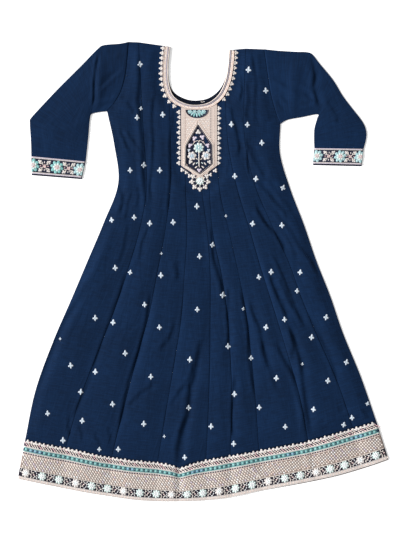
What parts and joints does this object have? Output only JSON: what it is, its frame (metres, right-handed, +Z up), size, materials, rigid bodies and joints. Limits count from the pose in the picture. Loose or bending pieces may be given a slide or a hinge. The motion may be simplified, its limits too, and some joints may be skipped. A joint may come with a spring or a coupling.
{
  "type": "flared kurta",
  "caption": "Long flared kurta laid flat face up, with a deep round neck, embroidered neck band and placket, three-quarter sleeves with cuff bands, and a wide embroidered hem border.",
  "frame": {"origin": "middle of the laid-out garment's outline, on the surface it lies on", "axes": "+Y towards the neck, +X to the right seen from above, +Z up out of the surface"},
  "size_m": [0.9998, 1.2399, 0.0105],
  "materials": {
    "navy_cloth": "soft woven rayon crepe with a slight satin sheen",
    "border_embroidery": "dense peach, cream and aqua thread embroidery on navy",
    "cuff_embroidery": "navy ground with lilac-cream edge lines and thread flowers",
    "neck_embroidery": "dense peach and cream thread embroidery",
    "flower_embroidery": "raised mint and aqua thread flowers"
  },
  "bodies": {
    "root": {"front_side_left": "navy_cloth", "back_side_left": "navy_cloth", "front_princess_left": "navy_cloth", "back_princess_left": "navy_cloth", "front_kali_left_outer": "navy_cloth", "back_kali_left_outer": "navy_cloth", "front_kali_left_inner": "navy_cloth", "back_kali_left_inner": "navy_cloth", "front_kali_centre": "navy_cloth", "back_kali_centre": "navy_cloth", "front_kali_right_inner": "navy_cloth", "back_kali_right_inner": "navy_cloth", "front_kali_right_outer": "navy_cloth", "back_kali_right_outer": "navy_cloth", "front_princess_right": "navy_cloth", "back_princess_right": "navy_cloth", "front_side_right": "navy_cloth", "back_side_right": "navy_cloth", "sleeve_left": "navy_cloth", "cuff_band_left": "cuff_embroidery", "sleeve_right": "navy_cloth", "cuff_band_right": "cuff_embroidery", "hem_border_left": "border_embroidery", "hem_border_right": "border_embroidery", "hem_border_back": "border_embroidery", "neck_band": "neck_embroidery", "placket": "neck_embroidery", "placket_flower_centre": "flower_embroidery", "placket_flower_left": "flower_embroidery", "placket_flower_right": "flower_embroidery", "medallion_flower": "flower_embroidery"}
  },
  "joints": []
}
